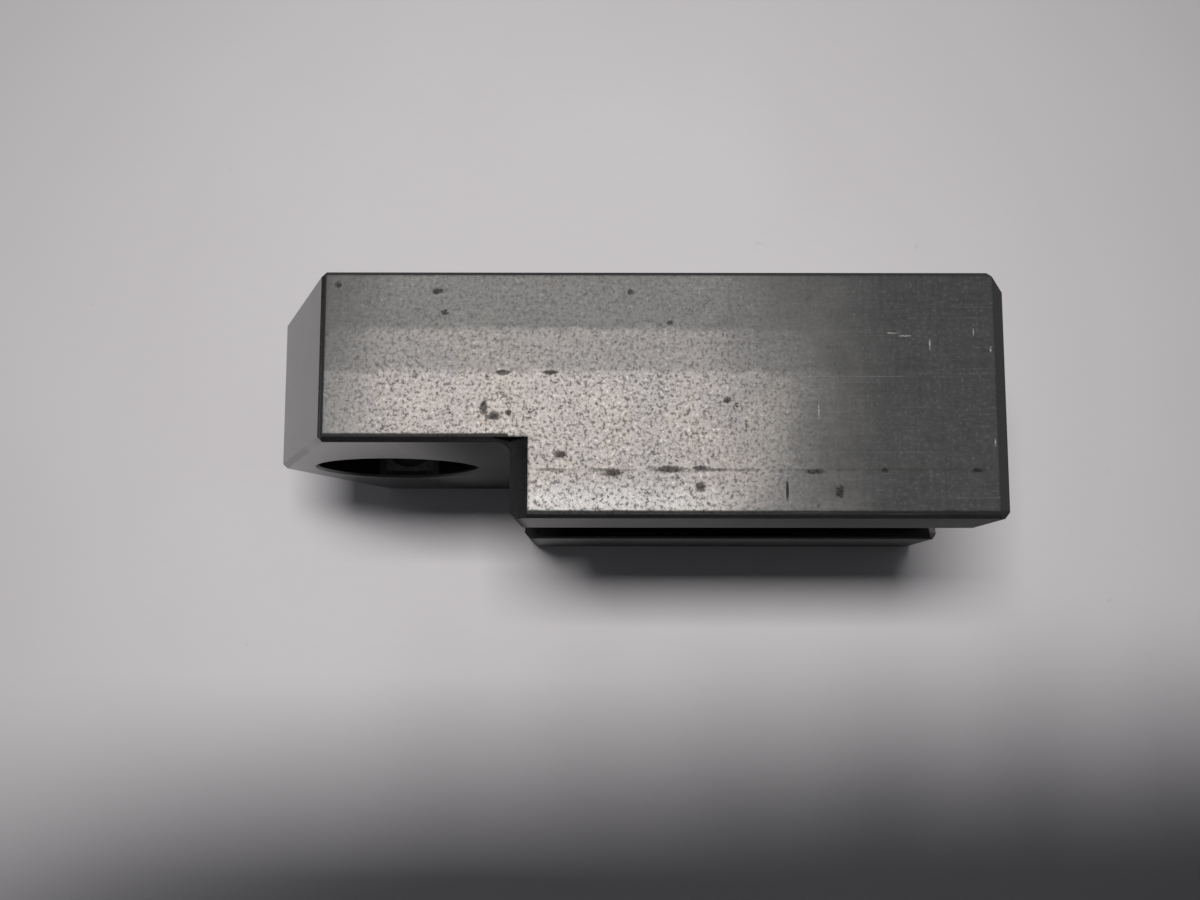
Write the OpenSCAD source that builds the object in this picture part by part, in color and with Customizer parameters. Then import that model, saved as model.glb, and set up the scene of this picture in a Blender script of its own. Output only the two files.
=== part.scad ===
// Holder block of a quick change tool post, lying on its side: a black steel block with a
// dovetail slot along its front, a pointed nose with a cross bore for a round tool bar,
// and a cam shaft behind the slot that pushes two lock pistons against the post.
// Origin: centre of the tool bore, halfway through the nose.
// +X runs along the slot to the tail, +Y through the bore to the back, +Z up.

/* [Block] */
// Height of the block as it lies
block_h = 63; // [60:0.5:70]
// Distance from the bore's axis to the tail end
tail_reach = 88.8; // [88:0.2:96]
// Distance from the bore's axis to the point of the nose
nose_reach = 18.6; // [17.5:0.1:22]
// Length of the nose's two bevels along X
bevel_run = 12; // [8:0.5:14]
// Thickness of the nose through the bore
nose_t = 24; // [22:0.5:28]
// Distance from the bore's axis to the wall where the thick part begins
step_reach = 19.7; // [18:0.1:24]
// Chamfer along the long edges
edge_c = 0.5; // [0.3:0.1:1]
// Chamfer along the nose's front edges
nose_edge_c = 0.7; // [0.3:0.1:1]
// Chamfer where the nose's bevels meet the upper and lower sides
bevel_c = 0.6; // [0.3:0.1:1]
// Chamfer round the tail end
tail_c = 1.8; // [0.5:0.1:2]
// Chamfer on the tail end's back corner
tail_corner_c = 2.5; // [1:0.1:3]
// Chamfer on the step's upper and lower edges
step_c = 2.6; // [1:0.1:3]

/* [Dovetail slot] */
// Depth of the slot, which is also the nose's step back
slot_depth = 10.5; // [9:0.5:12]
// Width of the slot's mouth
slot_mouth = 23.5; // [20:0.5:26]
// Height of the slot's middle above the bore's axis
slot_z = 1.9; // [0:0.1:3]
// Lead-in chamfer round the slot's tail end
lead_in_c = 1.5; // [0.5:0.1:2]
// Angle between flank and land, in degrees
flank_angle = 60; // [55:1:65]

/* [Tool bore] */
// Diameter of the tool bore
bore_d = 25.4; // [20:0.1:26]
// Chamfer at both mouths of the bore
bore_c = 0.4; // [0.3:0.1:1.2]

/* [Cam lock] */
// Diameter of the lock shaft's bore
shaft_bore_d = 12; // [11:0.1:12.4]
// Distance of the shaft's axis behind the bore's middle plane
shaft_y = 2; // [1.5:0.1:2.5]
// Travel of the lock pistons
lock_lift = 1; // [0.5:0.1:1]
// Turn of the lock shaft from free to locked, in degrees
lock_turn = 120; // [90:5:120]
// Least radius of the cams
cam_r = 4.6; // [4.4:0.1:4.6]

/* [Bar clamp] */
// Diameter of the clamp screws
clamp_d = 8; // [6:1:8]
// Distance between the two clamp screws
clamp_spacing = 12; // [11:0.5:13]

/* [Hidden] */
$fn = 96;

over = 1;                                  // how far a cut runs past a face
half_h = block_h / 2;
back_y = nose_t / 2;
floor_y = -nose_t / 2;
front_y = floor_y - slot_depth;
block_t = back_y - front_y;
bevel_x = bevel_run - nose_reach;
bevel_angle = atan2(bevel_run, half_h);
bevel_len = norm([bevel_run, half_h]);
notch_r = 1.5;                             // fillet where nose front and step wall meet
front_corner_c = 1;                        // chamfer on the thick part's front corners
mouth_break = 0.5;                         // broken edge at the slot's mouth

running_gap = 0.04;                        // radial gap of a running fit
cam_len = 11;
cam_gap = 0.02;                            // gap between cam and piston
nose_piston_x = 39;
tail_piston_x = 69;
shaft_end_x = tail_reach - 2.5;
shaft_start_x = 30.3;
shaft_bore_start_x = 30;
shaft_r = shaft_bore_d / 2 - running_gap;
shaft_socket_af = 6;
shaft_socket_depth = 6;
shaft_end_c = 0.5;

groove_x = 54;                             // stop groove round the shaft
groove_r = 4.4;
groove_w = 3.3;
groove_end = 20.5;                         // room for the screw's point at each end, degrees
stop_d = 5;
stop_point_d = 3;
stop_point_y = shaft_y + 4.6;
stop_shoulder_y = shaft_y + shaft_bore_d / 2 + 0.15;
stop_end_y = back_y - 0.5;
stop_socket_af = 2.5;
stop_socket_depth = 2;

seal_x = 80;
seal_r = 5.08;                             // radius of the seal's middle line
seal_wire_r = 0.86;
seal_groove_r = 4.2;
seal_groove_w = 2.2;

piston_head_d = 9;
piston_head_t = 2;
piston_stem_d = 6;
piston_sink = 0.3;                         // piston's front end below the slot's floor
piston_back_y = shaft_y - cam_r - cam_gap;
piston_shoulder_y = piston_back_y - piston_head_t;
piston_front_y = floor_y + piston_sink;
piston_end_c = 0.4;

bush_d = 12;
bush_t = 3;
bush_sink = 0.1;
bush_inner_y = floor_y + bush_t;
spanner_hole_d = 1.6;
spanner_hole_r = 4.5;
spanner_hole_depth = 1.4;

spring_wire_r = 0.4;
spring_r = 3.75;                           // radius of the wire's middle line
spring_turns = 2.5;
spring_steps = 60;
spring_sides = 8;

clamp_gap = 0.05;                          // radial gap of clamp screws and pads
pad_top_z = -bore_d / 2 - 0.5;
pad_t = 4.2;
pad_pocket_d = 4.4;
pad_pocket_depth = 2;
screw_end_gap = 0.1;
screw_top_z = pad_top_z - pad_t - screw_end_gap;
screw_point_d = 4.2;
screw_point_len = 1.9;
screw_bottom_z = -half_h + 4;
screw_socket_af = 4;
screw_socket_depth = 4;
screw_end_c = 0.8;

// Radius of a hexagon's corners from its width across flats
function hex_r(af) = af / 2 / cos(30);

// Points of an arc about a centre, from one angle to another
function arc(centre, r, from, to, steps = 8) =
    [for (i = [0 : steps]) centre + r * [cos(from + (to - from) * i / steps),
                                         sin(from + (to - from) * i / steps)]];

// Distance from the shaft's axis to a flat face that rests on the cam, for the cam's own
// angle t: it rises evenly over lock_turn, then falls back over the rest of the circle
cam_slope = lock_lift / lock_turn;
fall_turn = 360 - lock_turn;
function fall(s) = (cam_r + lock_lift) * (2 * s ^ 3 - 3 * s ^ 2 + 1)
    + cam_r * (3 * s ^ 2 - 2 * s ^ 3)
    + cam_slope * fall_turn * (2 * s ^ 3 - 3 * s ^ 2 + s);
function cam_reach(t) = t <= lock_turn ? cam_r + cam_slope * t : fall((t - lock_turn) / fall_turn);
// Change of that distance per radian
function cam_rate(t) = (cam_reach(t + 0.01) - cam_reach(t - 0.01)) / 0.02 * 180 / PI;
function cam_point(t) = [
    cam_reach(t) * cos(180 + t) - cam_rate(t) * sin(180 + t),
    cam_reach(t) * sin(180 + t) + cam_rate(t) * cos(180 + t)
];

// Cylinder along X from a point
module rod_x(x, y, z, d, len) {
    translate([x, y, z]) rotate([0, 90, 0]) cylinder(d = d, h = len);
}

// Cylinder along +Y from a point
module rod_y(x, y, z, d, len) {
    translate([x, y, z]) rotate([-90, 0, 0]) cylinder(d = d, h = len);
}

// Cone along +Y from a point
module cone_y(x, y, z, d1, d2, len) {
    translate([x, y, z]) rotate([-90, 0, 0]) cylinder(d1 = d1, d2 = d2, h = len);
}

// Shape drawn in Y and Z, standing along +X from x
module along_x(x, len) {
    translate([x, 0, 0]) rotate([90, 0, 90]) linear_extrude(len) children();
}

// Prism that takes a chamfer off an edge; turn points its +Z along the edge
module edge_cut(start, turn, len, size) {
    translate(start) rotate(turn) linear_extrude(len)
        polygon([[size, 0], [0, size], [-size, 0], [0, -size]]);
}

TO_X = [0, 90, 0];
TO_Y = [-90, 0, 0];
TO_Z = [0, 0, 0];

// Outline seen from above: thin nose, thick tail
module plan_outline() {
    polygon(concat(
        [[-nose_reach, back_y], [-nose_reach, floor_y]],
        arc([step_reach - notch_r, floor_y - notch_r], notch_r, 90, 0),
        [[step_reach, front_y], [tail_reach, front_y], [tail_reach, back_y]]
    ));
}

// Outline seen from the front: the nose comes to a point at half height
module side_outline() {
    polygon([
        [-nose_reach, 0], [bevel_x, -half_h], [tail_reach, -half_h],
        [tail_reach, half_h], [bevel_x, half_h]
    ]);
}

module block_blank() {
    intersection() {
        translate([0, 0, -half_h]) linear_extrude(block_h) plan_outline();
        translate([0, back_y, 0]) rotate([90, 0, 0]) linear_extrude(block_t) side_outline();
    }
}

module block_edge_cuts() {
    for (side = [-1, 1]) {
        z = side * half_h;
        edge_cut([bevel_x - over, back_y, z], TO_X, tail_reach - bevel_x + 2 * over, edge_c);
        edge_cut([bevel_x - over, floor_y, z], TO_X, step_reach - bevel_x, nose_edge_c);
        edge_cut([step_reach - over, front_y, z], TO_X, tail_reach - step_reach + 2 * over, edge_c);
        edge_cut([step_reach, front_y - over, z], TO_Y, slot_depth + over + nose_edge_c, step_c);
        edge_cut([bevel_x, floor_y - over, z], TO_Y, nose_t + 2 * over, bevel_c);
        edge_cut([tail_reach, front_y - over, z], TO_Y, block_t + 2 * over, tail_c);
    }
    // the bevels' own front and back edges, past the nose's point and past its corners
    for (y = [floor_y, back_y]) for (side = [-1, 1])
        translate([-nose_reach, y, 0]) rotate([0, side * bevel_angle, 0])
            translate([0, 0, side > 0 ? -over : -bevel_len - over])
                edge_cut([0, 0, 0], TO_Z, bevel_len + 2 * over, nose_edge_c);
    edge_cut([tail_reach, back_y, -half_h - over], TO_Z, block_h + 2 * over, tail_corner_c);
    edge_cut([tail_reach, front_y, -half_h - over], TO_Z, block_h + 2 * over, front_corner_c);
    edge_cut([step_reach, front_y, -half_h - over], TO_Z, block_h + 2 * over, front_corner_c);
}

// The dovetail's cross-section, grown by a margin on its flanks and floor
module dovetail_profile(margin) {
    spread = 1 / tan(flank_angle);
    mouth = slot_mouth / 2 + margin / sin(flank_angle);
    base = mouth + (slot_depth + margin) * spread;
    neck = mouth - over * spread;
    translate([0, slot_z]) polygon([
        [front_y - over, -neck], [floor_y + margin, -base],
        [floor_y + margin, base], [front_y - over, neck]
    ]);
}

module dovetail_cut() {
    slot_len = tail_reach - step_reach + 2 * over;
    along_x(step_reach - over, slot_len) intersection() {
        dovetail_profile(0);
        translate([front_y, -half_h]) square([slot_depth, block_h]);
    }
    for (side = [-1, 1])
        edge_cut([step_reach - over, front_y, slot_z + side * slot_mouth / 2],
                 TO_X, slot_len, mouth_break);
    // lead-in at the tail
    hull() {
        along_x(tail_reach - lead_in_c, 0.01) dovetail_profile(0);
        along_x(tail_reach, 0.01) dovetail_profile(lead_in_c);
    }
}

module tool_bore_cut() {
    wide = bore_d + 2 * bore_c;
    rod_y(0, floor_y - over, 0, bore_d, nose_t + 2 * over);
    cone_y(0, floor_y, 0, wide, bore_d, bore_c);
    cone_y(0, back_y - bore_c, 0, bore_d, wide, bore_c);
}

module lock_cuts() {
    rod_x(shaft_bore_start_x, shaft_y, slot_z, shaft_bore_d, tail_reach - shaft_bore_start_x + over);
    for (x = [nose_piston_x, tail_piston_x]) {
        rod_y(x, floor_y - over, slot_z, bush_d, bush_t + over);
        rod_y(x, bush_inner_y - over, slot_z, piston_head_d + 2 * running_gap,
              shaft_y - bush_inner_y + over);
    }
    rod_y(groove_x, shaft_y, slot_z, stop_d, back_y - shaft_y + over);
}

module clamp_cuts() {
    for (y = [-1, 1] * clamp_spacing / 2)
        translate([0, y, -half_h - over])
            cylinder(d = clamp_d + 2 * clamp_gap, h = half_h + over - bore_d / 4);
}

module holder_block() {
    color([0.2, 0.2, 0.21]) difference() {
        block_blank();
        block_edge_cuts();
        dovetail_cut();
        tool_bore_cut();
        lock_cuts();
        clamp_cuts();
    }
}

// What is cut from the shaft to leave a cam
module cam_cut(x) {
    difference() {
        rod_x(x - cam_len / 2, 0, 0, shaft_bore_d + 2, cam_len);
        along_x(x - cam_len / 2 - over, cam_len + 2 * over)
            polygon([for (t = [0 : 4 : 356]) cam_point(t)]);
    }
}

module ring_cut(x, width, inner_r) {
    difference() {
        rod_x(x - width / 2, 0, 0, shaft_bore_d + 2, width);
        rod_x(x - width / 2 - over, 0, 0, 2 * inner_r, width + 2 * over);
    }
}

// Groove part of the way round, whose ends stop the turn
module stop_groove_cut() {
    translate([groove_x, 0, 0]) rotate([90, 0, 90]) rotate([0, 0, -groove_end])
        rotate_extrude(angle = lock_turn + 2 * groove_end)
            translate([groove_r, -groove_w / 2]) square([3, groove_w]);
}

module lock_shaft() {
    turned_len = shaft_end_x - shaft_start_x - 2 * shaft_end_c;
    end_d = 2 * (shaft_r - shaft_end_c);
    color([0.45, 0.45, 0.47]) translate([0, shaft_y, slot_z]) difference() {
        union() {
            rod_x(shaft_start_x + shaft_end_c, 0, 0, 2 * shaft_r, turned_len);
            translate([shaft_start_x, 0, 0]) rotate([0, 90, 0])
                cylinder(d1 = end_d, d2 = 2 * shaft_r, h = shaft_end_c);
            translate([shaft_end_x - shaft_end_c, 0, 0]) rotate([0, 90, 0])
                cylinder(d1 = 2 * shaft_r, d2 = end_d, h = shaft_end_c);
        }
        cam_cut(nose_piston_x);
        cam_cut(tail_piston_x);
        stop_groove_cut();
        ring_cut(seal_x, seal_groove_w, seal_groove_r);
        along_x(shaft_end_x - shaft_socket_depth, shaft_socket_depth + over)
            circle(r = hex_r(shaft_socket_af), $fn = 6);
    }
}

module shaft_seal_ring() {
    color([0.08, 0.08, 0.08]) translate([seal_x, shaft_y, slot_z]) rotate([0, 90, 0])
        rotate_extrude() translate([seal_r, 0]) circle(r = seal_wire_r, $fn = 32);
}

module shaft_stop_screw() {
    color([0.3, 0.3, 0.32]) difference() {
        union() {
            rod_y(groove_x, stop_shoulder_y, slot_z, stop_d, stop_end_y - stop_shoulder_y);
            rod_y(groove_x, stop_point_y, slot_z, stop_point_d, stop_shoulder_y - stop_point_y);
        }
        translate([groove_x, stop_end_y - stop_socket_depth, slot_z]) rotate([-90, 0, 0])
            cylinder(r = hex_r(stop_socket_af), h = stop_socket_depth + over, $fn = 6);
    }
}

// Flat head on the cam, stem through the guide bush
module lock_piston(x) {
    stem_end_y = piston_front_y + piston_end_c;
    color([0.6, 0.6, 0.62]) {
        rod_y(x, piston_shoulder_y, slot_z, piston_head_d, piston_head_t);
        rod_y(x, stem_end_y, slot_z, piston_stem_d, piston_shoulder_y - stem_end_y);
        cone_y(x, piston_front_y, slot_z, piston_stem_d - 2 * piston_end_c, piston_stem_d,
               piston_end_c);
    }
}

// Screwed into the slot's floor, with two holes for a pin spanner
module guide_bush(x) {
    color([0.72, 0.58, 0.3]) difference() {
        rod_y(x, floor_y + bush_sink, slot_z, bush_d, bush_t - bush_sink);
        rod_y(x, floor_y - over, slot_z, piston_stem_d + 2 * running_gap, bush_t + 2 * over);
        for (side = [-1, 1])
            rod_y(x + side * spanner_hole_r, floor_y - over, slot_z, spanner_hole_d,
                  spanner_hole_depth + bush_sink + over);
    }
}

// Coil spring between the guide bush and the piston's head
module piston_spring(x) {
    span = piston_shoulder_y - bush_inner_y - 2 * spring_wire_r;
    rings = [for (i = [0 : spring_steps]) for (j = [0 : spring_sides - 1])
        let (a = 360 * spring_turns * i / spring_steps,
             b = 360 * j / spring_sides,
             r = spring_r + spring_wire_r * cos(b))
        [r * cos(a), span * i / spring_steps + spring_wire_r * (1 + sin(b)), r * sin(a)]];
    sides = [for (i = [0 : spring_steps - 1]) for (j = [0 : spring_sides - 1])
        let (k = (j + 1) % spring_sides)
        [i * spring_sides + j, (i + 1) * spring_sides + j,
         (i + 1) * spring_sides + k, i * spring_sides + k]];
    first = [for (j = [0 : spring_sides - 1]) j];
    last = [for (j = [spring_sides - 1 : -1 : 0]) spring_steps * spring_sides + j];
    color([0.7, 0.7, 0.72]) translate([x, bush_inner_y, slot_z])
        polyhedron(points = rings, faces = concat([first], sides, [last]));
}

// Set screw with a plain point that turns in the pad
module clamp_screw(y) {
    color([0.3, 0.3, 0.32]) translate([0, y, 0]) difference() {
        union() {
            translate([0, 0, screw_bottom_z])
                cylinder(d1 = clamp_d - 2 * screw_end_c, d2 = clamp_d, h = screw_end_c);
            translate([0, 0, screw_bottom_z + screw_end_c])
                cylinder(d = clamp_d, h = screw_top_z - screw_bottom_z - screw_end_c);
            translate([0, 0, screw_top_z]) cylinder(d = screw_point_d, h = screw_point_len);
        }
        translate([0, 0, screw_bottom_z - over])
            cylinder(r = hex_r(screw_socket_af), h = screw_socket_depth + over, $fn = 6);
    }
}

// Brass pad between screw and tool bar
module clamp_pad(y) {
    color([0.25, 0.25, 0.26]) translate([0, y, pad_top_z - pad_t]) difference() {
        cylinder(d = clamp_d - 2 * running_gap, h = pad_t);
        translate([0, 0, -over]) cylinder(d = pad_pocket_d, h = pad_pocket_depth + over);
    }
}

holder_block();
lock_shaft();
shaft_seal_ring();
shaft_stop_screw();
lock_piston(nose_piston_x);  // nose_lock_piston
lock_piston(tail_piston_x);  // tail_lock_piston
guide_bush(nose_piston_x);  // nose_guide_bush
guide_bush(tail_piston_x);  // tail_guide_bush
piston_spring(nose_piston_x);  // nose_piston_spring
piston_spring(tail_piston_x);  // tail_piston_spring
clamp_screw(-clamp_spacing / 2);  // front_clamp_screw
clamp_screw(clamp_spacing / 2);  // back_clamp_screw
clamp_pad(-clamp_spacing / 2);  // front_clamp_pad
clamp_pad(clamp_spacing / 2);  // back_clamp_pad
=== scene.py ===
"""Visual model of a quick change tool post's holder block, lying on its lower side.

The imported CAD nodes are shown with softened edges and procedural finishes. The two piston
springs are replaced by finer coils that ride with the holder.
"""
import math
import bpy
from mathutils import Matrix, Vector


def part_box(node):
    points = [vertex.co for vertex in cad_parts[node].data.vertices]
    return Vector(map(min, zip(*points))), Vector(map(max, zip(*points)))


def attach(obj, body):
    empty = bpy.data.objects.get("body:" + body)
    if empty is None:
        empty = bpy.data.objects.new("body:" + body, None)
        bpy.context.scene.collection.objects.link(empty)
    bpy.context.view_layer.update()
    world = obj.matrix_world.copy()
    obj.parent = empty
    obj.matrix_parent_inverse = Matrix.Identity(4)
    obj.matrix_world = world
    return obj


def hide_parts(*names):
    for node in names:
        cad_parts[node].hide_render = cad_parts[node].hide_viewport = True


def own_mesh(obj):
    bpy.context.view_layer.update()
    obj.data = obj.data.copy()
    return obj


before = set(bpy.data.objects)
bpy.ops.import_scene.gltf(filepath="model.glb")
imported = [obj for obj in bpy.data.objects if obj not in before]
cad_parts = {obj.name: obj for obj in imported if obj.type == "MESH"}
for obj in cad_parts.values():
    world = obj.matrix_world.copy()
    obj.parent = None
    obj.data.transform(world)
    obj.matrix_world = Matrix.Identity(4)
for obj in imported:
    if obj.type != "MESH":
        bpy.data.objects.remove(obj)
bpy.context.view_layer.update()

from types import SimpleNamespace

import bmesh
import bpy
from mathutils import Vector

MM = 0.001

# ---------------------------------------------------------------- places, in mm, row frame

BLOCK_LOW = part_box("holder_block")[0] / MM
FLOOR_Z = BLOCK_LOW.z
STEP_X = 19.7
NOSE_FRONT_Y = -12.0
LAND_FRONT_Y = -22.5
# behind the front chamfers a band of finish is left, back to here
NOSE_BAND_Y = -10.9
LAND_BAND_Y = -21.5
# a thin dark line runs lengthwise here
DARK_LINE_Y = -15.9
# towards the tail the rubbed finish fades to whole between these
TAIL_FADE_X = (44.0, 76.0)
# from the back forwards it is rubbed more across each of these
MIDDLE_STRIP_Y = (4.4, 3.2)
FRONT_STRIP_Y = (-1.6, -2.8)

# ---------------------------------------------------------------- sizes, in mm and radians

WELD_GAP = 0.002
BLOCK_EDGE = 0.12
PIECE_EDGE = 0.08
SHARP_ANGLE = math.radians(35)
FLAT_ANGLE = math.radians(0.4)
WIRE_RADIUS = 0.4
SPRING_TURNS = 3.0
SPRING_STEPS = 120


# ---------------------------------------------------------------- node helpers

class Graph:
    """Builds one material's node tree."""

    def __init__(self, name):
        self.material = bpy.data.materials.new(name)
        self.material.use_nodes = True
        self.tree = self.material.node_tree
        self.tree.nodes.clear()
        self.output = self.tree.nodes.new("ShaderNodeOutputMaterial")
        self.shader = self.tree.nodes.new("ShaderNodeBsdfPrincipled")
        self.tree.links.new(self.shader.outputs[0], self.output.inputs["Surface"])
        coords = self.tree.nodes.new("ShaderNodeTexCoord")
        self.place = self.math3("MULTIPLY", coords.outputs["Object"], (1000, 1000, 1000))
        self._axes = None
        self._wander = None

    def set(self, node, name, value):
        """Links a socket to an input, or sets the input to a number."""
        socket = node.inputs[name]
        if isinstance(value, bpy.types.NodeSocket):
            self.tree.links.new(value, socket)
        else:
            socket.default_value = value

    def node(self, kind, **inputs):
        made = self.tree.nodes.new(kind)
        for name, value in inputs.items():
            self.set(made, name.replace("_", " "), value)
        return made

    def math(self, operation, a, b=0.0):
        made = self.tree.nodes.new("ShaderNodeMath")
        made.operation = operation
        self.set(made, 0, a)
        if operation not in ("ABSOLUTE", "SQRT"):
            self.set(made, 1, b)
        return made.outputs[0]

    def math3(self, operation, a, b):
        made = self.tree.nodes.new("ShaderNodeVectorMath")
        made.operation = operation
        self.set(made, 0, a)
        self.set(made, 1, b)
        return made.outputs[0]

    def axes(self):
        """The place's X, Y and Z in mm."""
        if self._axes is None:
            self._axes = self.node("ShaderNodeSeparateXYZ", Vector=self.place).outputs
        return self._axes

    def noise(self, scale, detail=2.0, rough=0.5, stretch=None, shift=(0, 0, 0)):
        """Noise with about that many cells per mm, from 0 to 1 round 0.5."""
        where = self.place
        if stretch:
            where = self.math3("MULTIPLY", where, stretch)
        where = self.math3("ADD", where, shift)
        made = self.node("ShaderNodeTexNoise", Vector=where, Scale=scale, Detail=detail,
                         Roughness=rough)
        return made.outputs["Fac"]

    def ramp(self, value, low, high, to_low=0.0, to_high=1.0, smooth=True):
        """Maps low..high to to_low..to_high, clamped."""
        made = self.tree.nodes.new("ShaderNodeMapRange")
        made.interpolation_type = "SMOOTHSTEP" if smooth else "LINEAR"
        made.clamp = True
        for name, x in (("Value", value), ("From Min", low), ("From Max", high),
                        ("To Min", to_low), ("To Max", to_high)):
            self.set(made, name, x)
        return made.outputs[0]

    def mix(self, factor, a, b):
        """Colour a to colour b."""
        made = self.tree.nodes.new("ShaderNodeMix")
        made.data_type = "RGBA"
        self.set(made, 0, factor)
        self.set(made, 6, a)
        self.set(made, 7, b)
        return made.outputs[2]

    def add(self, a, b):
        return self.math("ADD", a, b)

    def mul(self, a, b):
        return self.math("MULTIPLY", a, b)

    def sub(self, a, b):
        return self.math("SUBTRACT", a, b)

    def most(self, *values):
        result = values[0]
        for value in values[1:]:
            result = self.math("MAXIMUM", result, value)
        return result

    def inverse(self, a):
        return self.math("SUBTRACT", 1.0, a)

    def facing(self, axis):
        """1 where the surface's true normal points along that axis."""
        geometry = self.tree.nodes.new("ShaderNodeNewGeometry")
        normal = self.local(geometry.outputs["True Normal"])
        parts = self.node("ShaderNodeSeparateXYZ", Vector=normal)
        return self.ramp(parts.outputs[axis], 0.9, 0.98)

    def local(self, vector):
        """A world direction in the object's own directions, so that it turns with the piece."""
        made = self.tree.nodes.new("ShaderNodeVectorTransform")
        made.vector_type = "NORMAL"
        made.convert_from = "WORLD"
        made.convert_to = "OBJECT"
        self.set(made, 0, vector)
        return made.outputs[0]

    def edge(self, radius):
        """1 on edges, 0 on flats, from how far a rounded normal leans from the true one."""
        rounded = self.tree.nodes.new("ShaderNodeBevel")
        rounded.samples = 6
        self.set(rounded, "Radius", radius * MM)
        geometry = self.tree.nodes.new("ShaderNodeNewGeometry")
        dot = self.tree.nodes.new("ShaderNodeVectorMath")
        dot.operation = "DOT_PRODUCT"
        self.set(dot, 0, rounded.outputs[0])
        self.set(dot, 1, geometry.outputs["True Normal"])
        return self.ramp(dot.outputs["Value"], 0.995, 0.9)

    def blob(self, x, y, long, wide, ragged=0.5):
        """1 inside an oval on the X-Y plane, with a ragged rim."""
        px, py, _ = self.axes()
        dx = self.mul(self.sub(px, x), 1.0 / long)
        dy = self.mul(self.sub(py, y), 1.0 / wide)
        far = self.math("SQRT", self.add(self.mul(dx, dx), self.mul(dy, dy)))
        if self._wander is None:
            self._wander = self.sub(self.noise(2.0, 5.0, 0.75), 0.5)
        return self.ramp(self.add(far, self.mul(self._wander, 2.6 * ragged)), 1.25, 0.55)

    def finish(self, colour, rough, metallic=0.0, specular=0.5, bumps=()):
        """Sets the shader, with bumps as (height, strength, distance in mm)."""
        self.set(self.shader, "Base Color", colour)
        self.set(self.shader, "Roughness", rough)
        self.set(self.shader, "Metallic", metallic)
        self.set(self.shader, "Specular IOR Level", specular)
        normal = None
        for height, strength, distance in bumps:
            bump = self.node("ShaderNodeBump", Strength=strength, Distance=distance * MM)
            self.set(bump, "Height", height)
            if normal is not None:
                self.set(bump, "Normal", normal)
            normal = bump.outputs[0]
        if normal is not None:
            self.set(self.shader, "Normal", normal)
        return self.material


def grey(value, warm=0.0):
    """Linear grey, a little warmer or cooler."""
    return (value * (1 + warm), value, value * (1 - warm), 1.0)


# ---------------------------------------------------------------- materials

# Marks on the upper side, as (x, y, length, width) in mm.
PITS = [
    (18.8, -2.3, 0.9, 0.35), (25.4, -2.3, 0.9, 0.3), (16.2, -7.2, 0.5, 0.9),
    (17.6, -8.4, 0.9, 0.5), (19.6, -8.0, 0.4, 0.4), (26.8, -13.8, 0.8, 0.5),
    (34.0, -16.3, 1.2, 0.5), (41.8, -15.8, 1.9, 0.45), (46.0, -15.6, 0.9, 0.35),
    (61.7, -16.1, 1.3, 0.35), (71.3, -15.9, 0.5, 0.3), (84.0, -15.9, 0.8, 0.3),
    (46.0, -18.2, 0.7, 0.6), (65.1, -18.9, 0.6, 0.8), (49.8, -6.2, 0.5, 0.4),
    (-4.3, 10.1, 0.5, 0.4), (9.6, 9.2, 0.9, 0.4), (10.6, 6.2, 0.5, 0.4),
    (36.5, 9.1, 0.4, 0.4), (42.0, 4.7, 0.4, 0.3),
]
DARK_SCRATCH = (57.9, -18.7, 0.2, 1.4)
BRIGHT_SCRATCHES = [
    (72.8, 3.3, 0.8, 0.12), (74.6, 2.9, 0.9, 0.12), (78.0, 1.7, 0.14, 0.8),
    (62.4, -7.7, 0.12, 1.1), (84.1, 3.4, 0.1, 0.5), (86.4, 1.0, 0.15, 0.5),
    (86.6, -12.0, 0.12, 0.6),
]


def rubbed_areas(g, up, coarse, cloud, waver):
    """How far the upper side's finish is rubbed, and where its metal is nearly bare."""
    x, y, _ = g.axes()
    wavy_y = g.add(y, waver)
    strips = g.add(g.ramp(wavy_y, *MIDDLE_STRIP_Y, 0.57, 0.77),
                   g.ramp(wavy_y, *FRONT_STRIP_Y, 0.0, 0.22))
    patchy = g.add(x, g.mul(g.sub(cloud, 0.5), 14.0))
    rubbed = g.mul(g.mul(up, strips), g.ramp(patchy, *TAIL_FADE_X, 1.0, 0.05))
    rubbed = g.mul(rubbed, g.ramp(x, -8.0, 6.0, 0.60, 1.0))
    front_rub = g.mul(g.ramp(y, -16.5, -20.0), g.ramp(patchy, 56.0, 40.0))
    nose_rub = g.mul(g.ramp(x, 12.0, -4.0), g.ramp(y, 3.0, -6.0))
    return rubbed, g.mul(g.most(front_rub, g.mul(nose_rub, 0.12)), rubbed)


def pitted(g, up, rubbed, grain, coarse):
    """Pits on the upper side: scattered in the rubbed metal, and at the listed places."""
    pits = g.ramp(g.noise(0.9, 5.0, 0.85, shift=(5, 5, 1)), 0.57, 0.68)
    pits = g.mul(g.mul(pits, g.ramp(coarse, 0.48, 0.62)), rubbed)
    spots = g.most(*[g.blob(*mark, ragged=1.1) for mark in PITS])
    spots = g.mul(spots, g.ramp(grain, 0.38, 0.58, 0.25, 1.0))
    return g.mul(g.most(pits, spots, g.blob(*DARK_SCRATCH, ragged=0.15)), up)


def dark_line(g, up, waver):
    """Thin broken line along the upper side, from the step to the tail end."""
    x, y, _ = g.axes()
    off = g.math("ABSOLUTE", g.sub(g.add(y, g.mul(waver, 0.15)), DARK_LINE_Y))
    broken = g.ramp(g.noise(0.25, 4.0, 0.7, stretch=(1, 0.1, 0.1)), 0.36, 0.60)
    return g.mul(g.mul(g.mul(g.ramp(off, 0.28, 0.05), broken), up), g.ramp(x, 20.5, 22.0))


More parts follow.
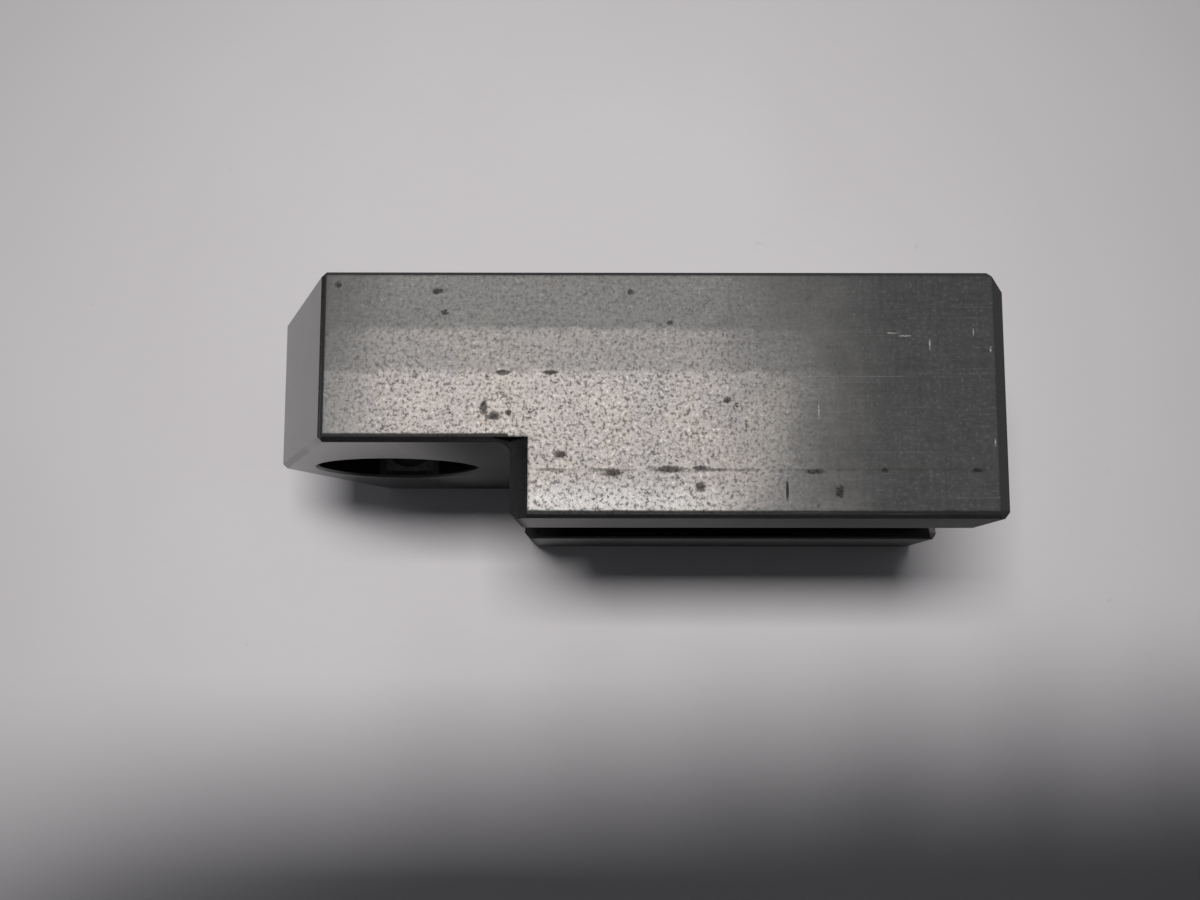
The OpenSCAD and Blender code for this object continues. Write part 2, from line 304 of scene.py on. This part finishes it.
def scratched(g, up, fine):
    """Bright scratches at the listed places, and faint lengthwise hairs."""
    marks = g.most(*[g.blob(*mark, ragged=0.5) for mark in BRIGHT_SCRATCHES])
    hairs = g.noise(1.2, 2.0, 0.5, stretch=(0.04, 6.0, 6.0), shift=(1, 0, 3))
    hairs = g.mul(g.ramp(hairs, 0.68, 0.78), 0.2)
    return g.mul(g.most(g.mul(marks, g.ramp(fine, 0.3, 0.6)), hairs), up)


def kept_rim(g, up, waver):
    """Finish left on the upper side: ragged at the chamfers, and a band behind the front ones."""
    x, y, _ = g.axes()
    ragged = g.ramp(g.noise(1.7, 4.0, 0.8, shift=(9, 2, 2)), 0.32, 0.44)
    band_y = g.ramp(x, STEP_X - 0.2, STEP_X + 0.2, NOSE_BAND_Y, LAND_BAND_Y)
    band = g.ramp(g.sub(g.add(y, g.mul(waver, 0.12)), band_y), 0.2, -0.12)
    return g.most(g.mul(g.mul(g.edge(0.6), up), ragged), g.mul(band, up))


def brushing(g, grain):
    """Crossed brushing and handling marks, seen where the finish is whole."""
    crossed = g.add(g.noise(1.6, 3.0, 0.7, stretch=(0.12, 1.0, 1.0), shift=(5, 1, 7)),
                    g.noise(1.6, 3.0, 0.7, stretch=(1.0, 0.12, 1.0), shift=(2, 6, 1)))
    return g.ramp(g.add(g.mul(crossed, 0.5), grain), 0.80, 1.25, 0.0, 1.0, smooth=False)


def oxide_colour(g, m):
    """From whole black through rubbed grey to bare metal, with the marks laid over."""
    warm, cool = (0.212, 0.187, 0.165, 1), (0.198, 0.182, 0.178, 1)
    tail_grains = g.mul(g.ramp(m.grain, 0.54, 0.64), g.mul(m.up, g.inverse(m.rubbed)))
    brown = g.mul(g.ramp(m.coarse, 0.55, 0.8), g.mul(m.rubbed, 0.35))
    holes = g.most(m.pits, g.mul(m.line, 0.8))
    base = g.mix(m.brushed, grey(0.005, -0.06), grey(0.016, -0.03))
    for factor, colour in (
            (m.rubbed, grey(0.185, 0.035)),
            (g.ramp(m.rubbed, 0.5, 1.0, 0.0, 0.8), g.mix(g.ramp(m.cloud, 0.40, 0.62), warm, cool)),
            (g.mul(tail_grains, 0.6), grey(0.085)),
            (g.mul(m.bare, 0.7), grey(0.30, 0.02)),
            (m.glints, grey(0.50, 0.03)),
            (g.mul(m.specks, 0.95), grey(0.025, 0.02)),
            (brown, (0.12, 0.09, 0.065, 1)),
            (g.mul(m.edges, 0.15), grey(0.10, 0.01)),
            (g.mul(m.rim, 0.95), grey(0.008, -0.03)),
            (m.scratches, grey(0.30, 0.02)),
            (g.mul(holes, 0.88), (0.014, 0.009, 0.006, 1))):
        base = g.mix(factor, base, colour)
    return base


def oxide_roughness(g, m):
    """Smooth sides and a rougher upper side, with two places on the front under oily dust."""
    x, y, _ = g.axes()
    side = g.inverse(m.up)
    # in the corner between nose and step
    corner = g.mul(g.mul(g.ramp(x, 0.0, 16.0), g.ramp(x, 22.0, 20.0)),
                   g.ramp(y, NOSE_FRONT_Y + 1.0, NOSE_FRONT_Y + 0.1))
    # and along the lands, more towards the tail
    land = g.mul(g.ramp(y, LAND_FRONT_Y + 1.5, LAND_FRONT_Y + 0.7), g.ramp(x, 14.0, 70.0, 0.4, 0.9))
    speckle = g.ramp(m.rubbed, 0.0, 1.0, 0.15, 0.4, smooth=False)
    sheen = g.ramp(m.rubbed, 0.0, 0.8, -0.12, -0.05)
    rough = g.ramp(m.up, 0.0, 1.0, 0.22, 0.60, smooth=False)
    for change in (
            g.mul(m.rubbed, -0.16),
            g.mul(g.sub(m.grain, 0.5), speckle),
            g.mul(g.sub(m.cloud, 0.5), 0.06),
            g.mul(g.mul(g.sub(m.brushed, 0.5), m.up), sheen),
            g.mul(g.most(m.pits, g.mul(m.specks, 0.4)), 0.45),
            g.mul(m.rim, 0.3),
            g.mul(g.mul(corner, side), 0.45),
            g.mul(g.mul(land, side), 0.4)):
        rough = g.add(rough, change)
    return rough


def black_oxide():
    """Worn black finish on ground steel: rubbed and speckled on the upper side, kept on the rest."""
    g = Graph("black_oxide")
    m = SimpleNamespace(up=g.facing(2))
    m.grain = g.noise(1.9, 6.0, 0.8)
    m.coarse = g.noise(0.5, 4.0, 0.65, shift=(7, 3, 0))
    m.cloud = g.noise(0.09, 4.0, 0.6, shift=(2, 9, 4))
    fine = g.noise(4.0, 2.0, 0.6, shift=(3, 1, 2))
    ground = g.noise(1.0, 2.0, 0.6, stretch=(0.04, 3.0, 3.0))
    waver = g.mul(g.sub(m.coarse, 0.5), 2.2)

    m.rubbed, m.bare = rubbed_areas(g, m.up, m.coarse, m.cloud, waver)
    m.pits = pitted(g, m.up, m.rubbed, m.grain, m.coarse)
    m.line = dark_line(g, m.up, waver)
    m.scratches = scratched(g, m.up, fine)
    m.edges = g.mul(g.edge(0.35), g.ramp(g.noise(0.8, 3.0, 0.7), 0.52, 0.72))
    m.rim = kept_rim(g, m.up, waver)
    m.brushed = brushing(g, m.grain)
    # in the rubbed metal, specks of finish are left and single grains shine
    dots = g.ramp(g.noise(1.25, 4.0, 0.9, shift=(8, 8, 8)), 0.41, 0.34)
    m.specks = g.mul(g.most(g.ramp(m.grain, 0.49, 0.41), g.mul(dots, 1.3)),
                     g.ramp(m.rubbed, 0.1, 1.0, 0.0, 0.75, smooth=False))
    m.glints = g.mul(g.ramp(m.grain, 0.55, 0.68),
                     g.ramp(m.rubbed, 0.3, 1.0, 0.0, 0.75, smooth=False))

    metal = g.mul(g.ramp(m.rubbed, 0.0, 1.0, 0.0, 0.42, smooth=False),
                  g.inverse(g.mul(m.specks, 0.8)))
    metal = g.mul(metal, g.inverse(g.most(m.pits, m.rim)))
    grain_height = g.ramp(m.rubbed, 0.0, 1.0, 0.10, 0.5, smooth=False)
    return g.finish(oxide_colour(g, m), oxide_roughness(g, m), metallic=metal, bumps=[
        (m.grain, grain_height, 0.03), (ground, 0.10, 0.01), (m.coarse, 0.12, 0.05),
        (g.inverse(g.most(m.pits, m.line)), 0.4, 0.06)])


def bare_steel():
    """Ground steel with fine lines across X, a few nicks and darker oil stains."""
    tone, rough = 0.42, 0.3
    g = Graph("ground_steel")
    stain = g.noise(0.18, 4.0, 0.6)
    lines = g.noise(2.4, 2.0, 0.6, stretch=(5.0, 0.5, 0.5))
    nicks = g.ramp(g.noise(0.9, 4.0, 0.8, shift=(4, 4, 4)), 0.66, 0.72)
    edges = g.edge(0.25)
    colour = g.mix(g.ramp(stain, 0.4, 0.7), grey(tone, 0.02), grey(tone * 0.55, 0.05))
    colour = g.mix(g.mul(edges, 0.5), colour, grey(tone * 1.5, 0.01))
    colour = g.mix(nicks, colour, grey(tone * 0.3, 0.08))
    r = g.add(g.add(rough, g.mul(g.sub(lines, 0.5), 0.2)), g.mul(nicks, 0.2))
    return g.finish(colour, r, metallic=1.0, bumps=[(lines, 0.15, 0.01), (nicks, -0.3, 0.03)])


def blackened_steel():
    """Screw steel, black with rubbed edges."""
    tone = 0.03
    g = Graph("screw_steel")
    grain = g.noise(2.2, 3.0, 0.7)
    stain = g.noise(0.3, 3.0, 0.6)
    edges = g.mul(g.edge(0.2), g.ramp(grain, 0.35, 0.6))
    colour = g.mix(g.ramp(stain, 0.35, 0.7), grey(tone, -0.02), grey(tone * 2, 0.05))
    colour = g.mix(g.mul(edges, 0.7), colour, grey(0.3, 0.02))
    r = g.add(0.42, g.mul(g.sub(grain, 0.5), 0.3))
    return g.finish(colour, r, specular=0.6, bumps=[(grain, 0.25, 0.02)])


def bronze():
    """Bronze with brushed streaks, tarnish clouds and bright rims."""
    bright, dull, rim = (0.62, 0.36, 0.17, 1), (0.33, 0.19, 0.09, 1), (0.744, 0.432, 0.204, 1)
    g = Graph("bronze")
    cloud = g.noise(0.35, 4.0, 0.6)
    lines = g.noise(3.0, 2.0, 0.6, stretch=(1.0, 1.0, 0.3))
    colour = g.mix(g.ramp(cloud, 0.38, 0.68), bright, dull)
    colour = g.mix(g.mul(g.edge(0.2), 0.6), colour, rim)
    r = g.add(0.34, g.add(g.mul(g.sub(lines, 0.5), 0.2), g.mul(g.sub(cloud, 0.5), 0.15)))
    return g.finish(colour, r, metallic=1.0, bumps=[(lines, 0.2, 0.015)])


def spring_steel():
    """Drawn wire: dark and mottled, with a thin uneven oil film."""
    g = Graph("spring_steel")
    lines = g.noise(4.0, 2.0, 0.6)
    cloud = g.noise(0.8, 3.0, 0.6)
    colour = g.mix(g.ramp(cloud, 0.35, 0.7), grey(0.30, 0.01), grey(0.16, 0.04))
    r = g.add(0.3, g.mul(g.sub(lines, 0.5), 0.25))
    return g.finish(colour, r, metallic=1.0, bumps=[(lines, 0.2, 0.01)])


def seal_rubber():
    """Black nitrile: matt, dusty in its pores, with a faint mould bloom."""
    g = Graph("seal_rubber")
    pores = g.noise(3.5, 3.0, 0.7)
    bloom = g.noise(0.4, 3.0, 0.6)
    colour = g.mix(g.ramp(bloom, 0.4, 0.75), grey(0.010), grey(0.028, 0.03))
    r = g.add(0.62, g.mul(g.sub(pores, 0.5), 0.3))
    return g.finish(colour, r, specular=0.4, bumps=[(pores, 0.2, 0.02)])


def paper_floor():
    """Pale sheet: a faint weave, soft tone changes, a few specks, and painted vignette shade, darker
    far from the block.
    """
    g = Graph("floor_paper")
    x, y, _ = g.axes()
    weave = g.noise(0.45, 2.0, 0.5, stretch=(0.35, 1.6, 1.0))
    cloud = g.noise(0.012, 3.0, 0.5, shift=(40, 10, 0))
    specks = g.ramp(g.noise(0.16, 3.0, 0.65, shift=(11, 5, 0)), 0.715, 0.76)
    tone = g.add(g.ramp(cloud, 0.3, 0.7, 0.0, 1.0), g.mul(g.sub(weave, 0.5), 0.5))
    colour = g.mix(tone, (0.69, 0.668, 0.69, 1), (0.73, 0.712, 0.728, 1))
    # painted shade: a vignette, the colour darkening with distance from the block in place of light
    # falling off
    out_x = g.mul(g.sub(x, 30.0), 1.0 / 150.0)
    out_y = g.mul(g.sub(y, -10.0), 1.0 / 150.0)
    painted_vignette = g.add(g.mul(out_x, out_x), g.mul(out_y, out_y))
    colour = g.mix(g.ramp(painted_vignette, 0.05, 1.0, smooth=False), colour, (0.50, 0.485, 0.50, 1))
    colour = g.mix(g.mul(specks, 0.35), colour, (0.50, 0.47, 0.50, 1))
    return g.finish(colour, 0.85, specular=0.2, bumps=[(weave, 0.08, 0.2)])


MATERIALS = {
    "black_oxide": black_oxide(),
    "ground_steel": bare_steel(),
    "screw_steel": blackened_steel(),
    "bronze": bronze(),
    "spring_steel": spring_steel(),
    "seal_rubber": seal_rubber(),
}


# ---------------------------------------------------------------- pieces

def dress_node(node, slot, edge=PIECE_EDGE):
    """Gives a CAD node its finish, whole flats and rounded edges, or split edges if edge is 0."""
    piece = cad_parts[node]
    piece.data.materials.clear()
    piece.data.materials.append(MATERIALS[slot])
    for polygon in piece.data.polygons:
        polygon.material_index = 0
    piece.data.shade_smooth()
    weld = piece.modifiers.new("weld", "WELD")
    weld.merge_threshold = WELD_GAP * MM
    planar = piece.modifiers.new("planar", "DECIMATE")
    planar.decimate_type = "DISSOLVE"
    planar.angle_limit = FLAT_ANGLE
    if edge:
        bevel = piece.modifiers.new("edges", "BEVEL")
        bevel.limit_method = "ANGLE"
        bevel.angle_limit = SHARP_ANGLE
        bevel.width = edge * MM
        bevel.segments = 2
        bevel.use_clamp_overlap = True
        flat = piece.modifiers.new("flat", "WEIGHTED_NORMAL")
        flat.keep_sharp = False
    else:
        sharp = piece.modifiers.new("sharp", "EDGE_SPLIT")
        sharp.split_angle = SHARP_ANGLE


def object_from(name, bm, material):
    """Puts a bmesh in the scene as an object with one material."""
    mesh = bpy.data.meshes.new(name)
    bm.to_mesh(mesh)
    bm.free()
    mesh.materials.append(material)
    made = bpy.data.objects.new(name, mesh)
    bpy.context.scene.collection.objects.link(made)
    return made


def coil_points(x, z, low_y, high_y, radius):
    """Centre line of a compression spring along Y, with flatter end turns."""
    points = []
    for i in range(SPRING_STEPS + 1):
        t = i / SPRING_STEPS
        turn = t * SPRING_TURNS * 2 * math.pi
        ease = 3 * t * t - 2 * t * t * t
        rise = 0.25 * t + 0.75 * ease
        points.append(Vector((x + radius * math.cos(turn), low_y + (high_y - low_y) * rise,
                              z + radius * math.sin(turn))))
    return points


def swept_tube(points, radius, sides=14):
    """Tube of round section along points, with bluntly pointed ends."""
    bm = bmesh.new()
    rings = []
    up = Vector((0, 1, 0))
    last = len(points) - 1
    for i, point in enumerate(points):
        ahead = (points[min(i + 1, last)] - points[max(i - 1, 0)]).normalized()
        across = ahead.cross(up).normalized()
        other = across.cross(ahead).normalized()
        ring = []
        for k in range(sides):
            a = 2 * math.pi * k / sides
            offset = across * math.cos(a) + other * math.sin(a)
            ring.append(bm.verts.new((point + offset * radius) * MM))
        rings.append(ring)
    for one, two in zip(rings, rings[1:]):
        for k in range(sides):
            n = (k + 1) % sides
            bm.faces.new((one[k], one[n], two[n], two[k]))
    for ring, sign in ((rings[0], -1), (rings[-1], 1)):
        i = 0 if sign < 0 else last
        ahead = (points[min(i + 1, last)] - points[max(i - 1, 0)]).normalized() * sign
        tip = bm.verts.new((points[i] + ahead * radius * 0.5) * MM)
        for k in range(sides):
            bm.faces.new((ring[k], ring[(k + 1) % sides], tip))
    return bm


def piston_spring(name, node):
    """Return spring of a lock piston, as a finer coil that rides with the holder."""
    low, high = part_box(node)
    centre = (low + high) / 2 / MM
    radius = (high.x - low.x) / 2 / MM - WIRE_RADIUS
    points = coil_points(centre.x, centre.z, low.y / MM + WIRE_RADIUS, high.y / MM - WIRE_RADIUS,
                         radius)
    bm = swept_tube(points, WIRE_RADIUS)
    bmesh.ops.recalc_face_normals(bm, faces=bm.faces)
    piece = object_from(name, bm, MATERIALS["spring_steel"])
    piece.data.shade_smooth()
    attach(piece, "holder")
    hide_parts(node)
    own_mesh(piece)


dress_node("holder_block", "black_oxide", BLOCK_EDGE)
for node in ("lock_shaft", "nose_lock_piston", "tail_lock_piston"):
    dress_node(node, "ground_steel")
for node in ("nose_guide_bush", "tail_guide_bush"):
    dress_node(node, "bronze")
for node in ("front_clamp_screw", "back_clamp_screw", "shaft_stop_screw", "front_clamp_pad",
             "back_clamp_pad"):
    dress_node(node, "screw_steel")
dress_node("shaft_seal_ring", "seal_rubber", 0)

piston_spring("nose_return_coil", "nose_piston_spring")
piston_spring("tail_return_coil", "tail_piston_spring")


# ---------------------------------------------------------------- floor, light and camera

def make_floor():
    """Pale sheet just under the block, far larger than the view."""
    bm = bmesh.new()
    bmesh.ops.create_grid(bm, x_segments=8, y_segments=8, size=3.0)
    floor = object_from("floor", bm, paper_floor())
    floor.location.z = (FLOOR_Z - 0.02) * MM


def make_lamp():
    """One soft rectangular lamp overhead, a little behind the block and to its left."""
    data = bpy.data.lights.new("overhead", "AREA")
    data.shape = "RECTANGLE"
    data.size = 0.30
    data.size_y = 0.11
    data.energy = 4.6
    data.color = (1.0, 0.985, 0.975)
    lamp = bpy.data.objects.new("overhead", data)
    bpy.context.scene.collection.objects.link(lamp)
    target = Vector((0.03, -0.01, FLOOR_Z * MM))
    lamp.location = target + Vector((-0.056, 0.13, 1.0)).normalized() * 0.8
    lamp.rotation_euler = (math.radians(-7.4), 0, 0)


def shade_material():
    """Dull dark card with a faint mottle."""
    g = Graph("shade_card")
    return g.finish(g.mix(g.noise(0.05, 2.0), grey(0.03), grey(0.05)), 0.9, specular=0.1)


def make_shade():
    """Card over the floor in front of the block, unseen itself, whose soft shadow darkens it."""
    height, far_y, near_y, tooth = 0.16, -0.24, -0.0190, 0.007
    left_x, right_x, pitch = -0.12, 0.4, 0.01
    corners = [(left_x, far_y), (right_x, far_y)]
    # teeth along the near edge make its shadow fade evenly
    corners += [(right_x - pitch * i, near_y + (tooth if i % 2 else -tooth)) for i in range(39)]
    corners += [(-0.0305, -0.025), (-0.067, -0.038), (left_x, -0.08)]
    bm = bmesh.new()
    bm.faces.new([bm.verts.new((x, y, height)) for x, y in corners])
    card = object_from("shade", bm, shade_material())
    card.visible_camera = False
    card.visible_glossy = False


def make_world():
    """Dim room light from all round."""
    world = bpy.data.worlds.new("room")
    world.use_nodes = True
    background = world.node_tree.nodes["Background"]
    background.inputs["Color"].default_value = (0.93, 0.95, 1.0, 1)
    background.inputs["Strength"].default_value = 0.13
    bpy.context.scene.world = world


def make_camera():
    """Camera nearly straight above, leaning a little towards the block's back."""
    data = bpy.data.cameras.new("camera")
    data.sensor_fit = "HORIZONTAL"
    data.sensor_width = 36.0
    data.lens = 40.824
    data.clip_start = 0.01
    camera = bpy.data.objects.new("camera", data)
    bpy.context.scene.collection.objects.link(camera)
    camera.location = (0.03227, -0.03776, 0.21676)
    camera.rotation_euler = (math.radians(7.57), 0, math.radians(0.066))
    bpy.context.scene.camera = camera


make_floor()
make_lamp()
make_shade()
make_world()
make_camera()
bpy.context.scene.view_settings.view_transform = "Standard"
